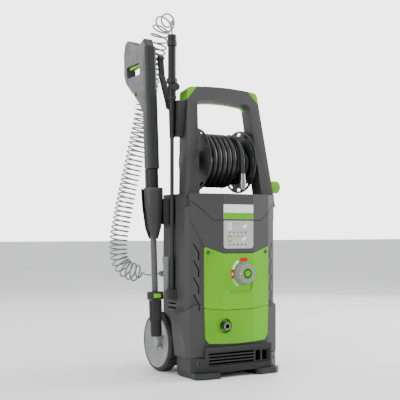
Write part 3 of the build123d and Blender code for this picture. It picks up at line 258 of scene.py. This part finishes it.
GREEN = (0.098, 0.335, 0.003)
materials = {
    "dark_plastic": moulded_plastic("dark_plastic", (0.028, 0.0272, 0.0276), 0.5, wear=1.7),
    "black_plastic": moulded_plastic("black_plastic", (0.0135, 0.0135, 0.0138), 0.45, wear=2.0),
    "green_plastic": moulded_plastic("green_plastic", GREEN, 0.36, 1200.0, 0.00008, 1.15),
    "holster_plastic": moulded_plastic("holster_plastic", (0.036, 0.0352, 0.0354), 0.38, wear=1.8),
    "gun_grey": moulded_plastic("gun_grey", (0.03, 0.0295, 0.03), 0.38, wear=1.8),
    "dial_grey": moulded_plastic("dial_grey", (0.2, 0.2, 0.21), 0.35, wear=1.25),
    # the label's print takes no painted shade in its gaps
    "label_print": moulded_plastic("label_print", (0.72, 0.73, 0.72), 0.32, 2500.0, 0.00003, 1.05,
                                   shade_gaps=False),
    "hub_plastic": moulded_plastic("hub_plastic", (0.2, 0.2, 0.2), 0.34, wear=1.2),
    "bush_nylon": moulded_plastic("bush_nylon", (0.7, 0.68, 0.62), 0.4, wear=1.1),
    "cup_plastic": clear_plastic("cup_plastic", (0.2, 0.205, 0.21), 0.28, 0.3),
    "curly_plastic": clear_plastic("curly_plastic", (0.2, 0.2, 0.203), 0.26, 0.1),
    "steel": turned_metal("steel", (0.5, 0.5, 0.51), 0.32),
    "chrome": turned_metal("chrome", (0.78, 0.78, 0.79), 0.12),
    "brass": turned_metal("brass", (0.66, 0.47, 0.2), 0.27),
    "cast_metal": turned_metal("cast_metal", (0.46, 0.46, 0.46), 0.5, brushed=260.0),
    "hose_rubber": rubber("hose_rubber", (0.016, 0.016, 0.0165), 0.36),
    "tyre_rubber": rubber("tyre_rubber", (0.022, 0.022, 0.022), 0.68),
    "lance_steel": moulded_plastic("lance_steel", (0.052, 0.0515, 0.052), 0.3, 2200.0, 0.00004, 1.5),
}


def give_material(obj, material):
    """Every face of an object takes one material."""
    obj.data.materials.clear()
    obj.data.materials.append(material)


for subpart in frame["record"]["subparts"]:
    give_material(nodes[subpart["node"]], materials[subpart["material_slot"]])


nodes["screws"].data.materials[0] = turned_metal("dark_steel", (0.09, 0.09, 0.092), 0.42)
fitting_metal = turned_metal("fitting_metal", (0.24, 0.24, 0.245), 0.34)
nodes["outlet_fitting"].data.materials[0] = fitting_metal
nodes["hose_connector"].data.materials[0] = fitting_metal
nodes["wand_knob"].data.materials[0] = moulded_plastic("knob_dark", (0.014, 0.014, 0.0145), 0.42)

# ---------------------------------------------------------------- plates, dial scale and dial face
COVER_FRONT = -0.160      # front of the apron, panel and covers
PLATE = 0.0006            # thickness of a plate
PRINT = 0.00015           # thickness of a printed layer
DIAL_CENTER = (0.021, 0.303)
DIAL_FRONT = -0.177

def print_layer(name, color, roughness=0.33):
    """A smooth printed or plated finish, without painted shade in its gaps."""
    return moulded_plastic(name, color, roughness, 2500.0, 0.00003, 1.04, shade_gaps=False)


prints = {
    "plate_white": print_layer("plate_white", (0.74, 0.75, 0.74)),
    "plate_grey": print_layer("plate_grey", (0.40, 0.40, 0.39)),
    "print_green": print_layer("print_green", (0.10, 0.36, 0.006)),
    "print_red": print_layer("print_red", (0.50, 0.004, 0.008)),
    "print_dark": print_layer("print_dark", (0.006, 0.007, 0.013)),
}


def slab(name, outline, back, front, material, body="machine", rim=0.0001):
    """A thin plate facing the front, swept between two depths from an outline in x and z, its rim eased."""
    shape = bmesh.new()
    face = shape.faces.new([shape.verts.new((x, back, z)) for x, z in outline])
    swept = bmesh.ops.extrude_face_region(shape, geom=[face])
    risen = [item for item in swept["geom"] if isinstance(item, bmesh.types.BMVert)]
    bmesh.ops.translate(shape, verts=risen, vec=(0, front - back, 0))
    edges = [edge for edge in shape.edges if all(vertex in risen for vertex in edge.verts)]
    bmesh.ops.bevel(shape, geom=edges, offset=rim, segments=2, profile=0.5, affect="EDGES")
    bmesh.ops.recalc_face_normals(shape, faces=shape.faces)
    data = bpy.data.meshes.new(name)
    shape.to_mesh(data)
    shape.free()
    piece = bpy.data.objects.new(name, data)
    bpy.context.scene.collection.objects.link(piece)
    give_material(piece, material)
    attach(piece, body)
    return piece


def corner_arc(center, radius, start, end, steps=6):
    """Points round part of a circle; angles in degrees, 0 to the right and 90 up."""
    return [
        (center[0] + radius * cos(radians(start + (end - start) * step / steps)),
         center[1] + radius * sin(radians(start + (end - start) * step / steps)))
        for step in range(steps + 1)
    ]


def rounded(x_low, x_high, z_low, z_high, low_radius, high_radius):
    """A rectangle with its own corner radius along the bottom and along the top."""
    return (
        corner_arc((x_low + low_radius, z_low + low_radius), low_radius, 180, 270)
        + corner_arc((x_high - low_radius, z_low + low_radius), low_radius, 270, 360)
        + corner_arc((x_high - high_radius, z_high - high_radius), high_radius, 0, 90)
        + corner_arc((x_low + high_radius, z_high - high_radius), high_radius, 90, 180)
    )


def scale_band(inner, outer, start, end):
    """A band round the dial between two radii and two angles."""
    steps = max(4, int((end - start) / 3))
    outside = corner_arc(DIAL_CENTER, outer, start, end, steps)
    return outside + corner_arc(DIAL_CENTER, inner, end, start, steps)


def printed(name, outline, ink, on=COVER_FRONT - PLATE, layer=1, body="machine"):
    """A printed patch that lies on a surface; a second layer covers the first."""
    return slab(name, outline, on + PRINT, on - PRINT * layer, prints[ink], body, PRINT / 3)


# the name plate stays blank, with its coloured band
PLATE_HALF = 0.052        # half the width of both plates
UPPER_LOW = 0.4635
UPPER_TOP = 0.5065
BAND_TOP = 0.482
LOWER_LOW = 0.377
LOWER_TOP = 0.459
LOWER_CORNER = 0.009      # radius of the lower plate's bottom corners
CRISP = 0.001             # radius of a plate's other corners
BAND_INSET = 0.0002       # bare rim of the plate round its band

plate_upper = slab("plate_upper", rounded(-PLATE_HALF, PLATE_HALF, UPPER_LOW, UPPER_TOP, CRISP, CRISP),
                   COVER_FRONT + PRINT, COVER_FRONT - PLATE, prints["plate_white"])
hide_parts("front_labels")
printed("plate_band", rounded(BAND_INSET - PLATE_HALF, PLATE_HALF - BAND_INSET, UPPER_LOW + 0.0003, BAND_TOP,
                              CRISP, CRISP / 2), "print_green")
slab("plate_lower", rounded(-PLATE_HALF, PLATE_HALF, LOWER_LOW, LOWER_TOP, LOWER_CORNER, CRISP),
     COVER_FRONT + PRINT, COVER_FRONT - PLATE, prints["plate_grey"])

# instruction plate: two rows, each with a tab, a rule, a patch and a line of small marks
TAB_LOW = -0.037
TAB_HIGH = -0.025
TAB_HEIGHT = 0.020
TAB_CORNER = 0.0015
RULE_LOW = -0.020
FINE_CORNER = 0.0006
PATCH_WIDTH = 0.013
PATCH_SLANT = 0.006
MARK_FIRST = -0.0315      # middle of the first mark in a row
MARK_PITCH = 0.014
MARK_HALF = 0.0023
PLATE_ROWS = (
    # top of the row, tab, mark on the tab, right end of the rule, left foot of the patch
    (0.4530, "plate_white", "print_green", 0.006, 0.013),
    (0.4165, "print_green", "plate_white", 0.018, 0.009),
)
for row, (top, tab_ink, mark_ink, rule_high, patch_low) in enumerate(PLATE_ROWS):
    printed(f"tab_{row}", rounded(TAB_LOW, TAB_HIGH, top - TAB_HEIGHT, top, TAB_CORNER, TAB_CORNER), tab_ink)
    printed(f"tab_mark_{row}", rounded(TAB_LOW + 0.0045, TAB_HIGH - 0.0045, top - 0.015, top - 0.005,
                                       CRISP, CRISP), mark_ink, layer=2)
    printed(f"rule_{row}", rounded(RULE_LOW, rule_high, top - 0.0045, top - 0.0025, FINE_CORNER, FINE_CORNER),
            "print_green")
    patch_high = patch_low + PATCH_WIDTH
    patch_foot = top - 0.0165
    patch_head = top - 0.006
    printed(f"patch_{row}", [(patch_low, patch_foot), (patch_high, patch_foot),
                             (patch_high + PATCH_SLANT, patch_head), (patch_low + PATCH_SLANT, patch_head)],
            "plate_white")
    for mark in range(5):
        mark_x = MARK_FIRST + MARK_PITCH * mark
        drop = rounded(mark_x - MARK_HALF, mark_x + MARK_HALF, top - 0.0305, top - 0.0265, 0.0018, FINE_CORNER)
        printed(f"mark_{row}_{mark}", drop, "print_dark")

# scale round the dial, printed straight on the cover
SCALE = (
    # name, inner and outer radius, first and last angle, ink, layer
    ("scale_top", 0.0365, 0.0470, 75, 113, "print_red", 1),
    ("scale_high", 0.0385, 0.0460, 121, 162, "plate_white", 1),
    ("scale_high_mark", 0.0405, 0.0420, 138, 152, "print_green", 2),
    ("scale_middle", 0.0375, 0.0475, 164, 200, "print_red", 1),
    ("scale_middle_mark", 0.0405, 0.0445, 177, 187, "plate_white", 2),
    ("scale_low", 0.0390, 0.0402, 202, 236, "plate_white", 1),
    ("scale_low_rim", 0.0448, 0.0460, 202, 236, "plate_white", 1),
    ("scale_low_end", 0.0390, 0.0460, 227, 237, "plate_white", 1),
)
for name, inner, outer, start, end, ink, layer in SCALE:
    printed(name, scale_band(inner, outer, start, end), ink, on=COVER_FRONT, layer=layer)

# a ledge moulded into the cover runs under the dial and up its right side
LEDGE_LOW = 0.248
LEDGE_RIGHT = 0.052
LEDGE_WIDTH = 0.005
LEDGE_BEND = 0.016        # outer radius of its corner
LEDGE_PROUD = 0.0022
ledge_center = (LEDGE_RIGHT - LEDGE_BEND, LEDGE_LOW + LEDGE_BEND)
ledge = (
    [(-0.026, LEDGE_LOW)]
    + corner_arc(ledge_center, LEDGE_BEND, 270, 360)
    + [(LEDGE_RIGHT, 0.281), (LEDGE_RIGHT - LEDGE_WIDTH, 0.279)]
    + corner_arc(ledge_center, LEDGE_BEND - LEDGE_WIDTH, 360, 270)
    + [(-0.024, LEDGE_LOW + LEDGE_WIDTH)]
)
slab("dial_ledge", ledge, COVER_FRONT + PRINT, COVER_FRONT - LEDGE_PROUD, materials["green_plastic"],
     rim=0.0016)

# the dial's cap, its ring and its pointer turn with it
CAP_R = 0.018
CAP_FRONT = DIAL_FRONT - 0.0012
RING_R = 0.0138
RING_INNER_R = 0.0096
POINTER_OUTER = 0.0265
POINTER_INNER = 0.0205
POINTER_HALF = 0.0012


def disc(radius):
    """A full circle round the dial's axis."""
    return corner_arc(DIAL_CENTER, radius, 0, 352.5, 47)


slab("dial_cap", disc(CAP_R), DIAL_FRONT + PRINT, CAP_FRONT, materials["green_plastic"],
     "pressure_dial", 0.0006)
printed("dial_ring", disc(RING_R), "print_dark", CAP_FRONT, 1, "pressure_dial")
printed("dial_ring_middle", disc(RING_INNER_R), "print_green", CAP_FRONT, 2, "pressure_dial")
dial_x, dial_z = DIAL_CENTER
pointer = rounded(dial_x - POINTER_OUTER, dial_x - POINTER_INNER,
                  dial_z - POINTER_HALF, dial_z + POINTER_HALF, 0.0008, 0.0008)
printed("dial_pointer", pointer, "plate_white", DIAL_FRONT, 1, "pressure_dial")

# ---------------------------------------------------------------- cords
CURLY_HOSE_D = 0.005
CURL_OUTER_D = 0.060
HOSE_D = 0.014
POINTS_PER_TURN = 16


def spline_curve(name, points, diameter, bevel=True):
    """A NURBS curve through a list of control points, open and pinned at both ends."""
    data = bpy.data.curves.new(name, "CURVE")
    data.dimensions = "3D"
    spline = data.splines.new("NURBS")
    spline.points.add(len(points) - 1)
    for point, place in zip(spline.points, points):
        point.co = (*place, 1)
    spline.order_u = 3
    spline.use_endpoint_u = True
    spline.resolution_u = 6
    if bevel:
        data.bevel_depth = diameter / 2
        data.bevel_resolution = 4
        data.use_fill_caps = True
    curve = bpy.data.objects.new(name, data)
    bpy.context.scene.collection.objects.link(curve)
    return curve


def route_points(points):
    """The points along the smooth line of a route, read from its own spline."""
    guide = spline_curve("route_guide", points, 0, bevel=False)
    guide.data.splines[0].resolution_u = 24
    bpy.context.view_layer.update()
    mesh = bpy.data.meshes.new_from_object(guide)
    line = [vertex.co.copy() for vertex in mesh.vertices]
    bpy.data.objects.remove(guide)
    bpy.data.meshes.remove(mesh)
    return line


def at_distance(line, distance):
    """The place and direction at a distance along a line of points."""
    for start, end in zip(line, line[1:]):
        step = (end - start).length
        if distance <= step:
            return start.lerp(end, distance / step if step else 0), (end - start).normalized()
        distance -= step
    return line[-1].copy(), (line[-1] - line[-2]).normalized()


def line_length(line):
    return sum((b - a).length for a, b in zip(line, line[1:]))


# the curly hose: a lead from the detergent cup, the coil, and a lead up to the wand
CURL_TURNS = 56
OPEN_FROM = 51 / 56       # share of the turns wound before the open ones
OPEN_AT = 0.87            # share of the coil's line that those turns cover
LEAD_SWING = 0.40         # share of the coil's radius at which each lead joins it
LOWER_LEAD = [
    (-0.171, 0.016, 0.300), (-0.171, 0.040, 0.299), (-0.174, 0.064, 0.293), (-0.181, 0.087, 0.293),
]
CURL_ROUTE = [
    (-0.190, 0.108, 0.298), (-0.207, 0.130, 0.300), (-0.226, 0.152, 0.312), (-0.238, 0.168, 0.348),
    (-0.235, 0.174, 0.405), (-0.220, 0.177, 0.470), (-0.205, 0.180, 0.540), (-0.188, 0.176, 0.615),
    (-0.172, 0.173, 0.690), (-0.160, 0.162, 0.765), (-0.153, 0.147, 0.835), (-0.152, 0.106, 0.920),
    (-0.153, 0.070, 0.985), (-0.154, 0.048, 1.034), (-0.156, 0.014, 1.064), (-0.158, -0.024, 1.056),
]
UPPER_LEAD = [(-0.165, -0.043, 1.045), (-0.165, -0.052, 1.028), (-0.165, -0.052, 1.009)]


def helix_points(line, radius, turns):
    """Points of a helix round a line: it widens as it leaves each lead, and its last turns open out."""
    total = line_length(line)
    count = turns * POINTS_PER_TURN
    side = Vector((1, 0, 0))
    points = []
    for index in range(count + 1):
        wound_share = index / count
        if wound_share < OPEN_FROM:
            share = wound_share * OPEN_AT / OPEN_FROM
        else:
            share = OPEN_AT + (wound_share - OPEN_FROM) * (1 - OPEN_AT) / (1 - OPEN_FROM)
        place, direction = at_distance(line, share * total)
        side = (side - direction * side.dot(direction)).normalized()
        other = direction.cross(side)
        ease = min(1.0, index / POINTS_PER_TURN, (count - index) / POINTS_PER_TURN)
        angle = 2 * pi * turns * wound_share
        swing = radius * (LEAD_SWING + (1 - LEAD_SWING) * ease)
        points.append(place + (side * cos(angle) + other * sin(angle)) * swing)
    return points


curl_line = route_points(CURL_ROUTE)
curl_points = (
    LOWER_LEAD
    + helix_points(curl_line, (CURL_OUTER_D - CURLY_HOSE_D) / 2, CURL_TURNS)
    + UPPER_LEAD
)
curly_cord = spline_curve("curly_cord", curl_points, CURLY_HOSE_D)
give_material(curly_cord, materials["curly_plastic"])
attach(curly_cord, "machine")
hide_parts("curly_hose", "curly_lead_lower", "curly_lead_upper")

# the high pressure hose: three layers on the drum, then a short tail down to its connector
REEL_Y = -0.030
REEL_Z = 0.644
DRUM_R = 0.045
LAYER_RISE = 0.0126
REEL_LEFT = -0.073
REEL_RIGHT = 0.083
TAIL_X = 0.048
TAIL_END = 0.602
TAIL_REACH = DRUM_R + HOSE_D * 1.5 + LAYER_RISE + 0.0002   # from the reel's axis to the tail's


def wound(x, radius, angle):
    """A place round the reel; angle 0 is the front, and it grows downwards, so the tail hangs off it."""
    return (x, REEL_Y - radius * cos(angle), REEL_Z - radius * sin(angle))


def layer_points(radius, x_from, x_to, turns):
    """One layer of turns that travels along the drum."""
    count = turns * POINTS_PER_TURN
    return [
        wound(x_from + (x_to - x_from) * index / count, radius, 2 * pi * index / POINTS_PER_TURN)
        for index in range(count)
    ]


layer_r = [DRUM_R + HOSE_D / 2 + LAYER_RISE * layer for layer in range(3)]
left_end = REEL_LEFT + HOSE_D / 2 + 0.001
right_end = REEL_RIGHT - HOSE_D / 2 - 0.001
outer_end = 0.020         # where the third layer stops
hose_points = layer_points(layer_r[0], left_end, right_end, 9)
hose_points += layer_points(layer_r[1], right_end, left_end, 9)
hose_points += layer_points(layer_r[2], left_end, outer_end, 5)
for index in range(POINTS_PER_TURN + 1):
    share = index / POINTS_PER_TURN
    ease = share * share * (3 - 2 * share)
    hose_points.append(wound(outer_end + (TAIL_X - outer_end) * ease,
                             layer_r[2] + (TAIL_REACH - layer_r[2]) * ease, 2 * pi * share))
tail_y = REEL_Y - TAIL_REACH
hose_points += [(TAIL_X, tail_y, REEL_Z - HOSE_D), (TAIL_X, tail_y, REEL_Z - 2 * HOSE_D),
                (TAIL_X, tail_y, TAIL_END)]
reel_cord = spline_curve("reel_cord", hose_points, HOSE_D)
give_material(reel_cord, materials["hose_rubber"])
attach(reel_cord, "reel")
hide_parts("reel_hose", "reel_hose_tail")

# ---------------------------------------------------------------- floor
floor_data = bpy.data.meshes.new("floor")
floor_mesh = bmesh.new()
bmesh.ops.create_grid(floor_mesh, x_segments=1, y_segments=1, size=30)
floor_mesh.to_mesh(floor_data)
floor_mesh.free()
floor = bpy.data.objects.new("floor", floor_data)
bpy.context.scene.collection.objects.link(floor)
floor_material, floor_tree, floor_shader = new_material("floor", (0.86, 0.86, 0.86), 0.55)
floor_tree.links.new(ramp(floor_tree, noise(floor_tree, 2.0), (0.85, 0.85, 0.85), (0.88, 0.88, 0.88)),
                     floor_shader.inputs["Base Color"])
give_material(floor, floor_material)
